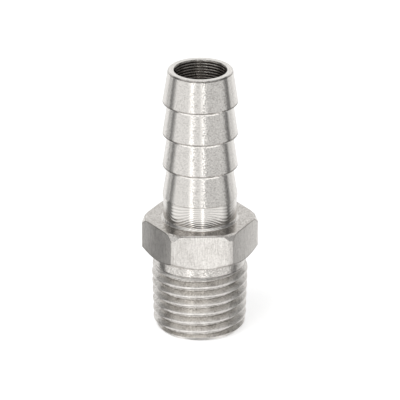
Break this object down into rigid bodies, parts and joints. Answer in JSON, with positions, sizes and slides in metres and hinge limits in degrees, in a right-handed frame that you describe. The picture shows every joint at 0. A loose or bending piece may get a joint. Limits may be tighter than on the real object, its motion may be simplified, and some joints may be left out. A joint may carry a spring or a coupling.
{
  "type": "hose barb tail",
  "caption": "Straight metal hose tail: sawtooth barbed stem for a hose, spanner hexagon and male taper pipe thread, with a through bore.",
  "frame": {"origin": "centre of the end face at the threaded end, where the part stands", "axes": "+Z along the bore axis from the pipe thread to the hose barbs, +Y square to one pair of hexagon flats"},
  "size_m": [0.016, 0.0142, 0.038],
  "materials": {
    "turned_steel": "bright turned stainless steel with fine tool rings"
  },
  "bodies": {
    "root": {"hose_barb_tail": "turned_steel"}
  },
  "joints": []
}
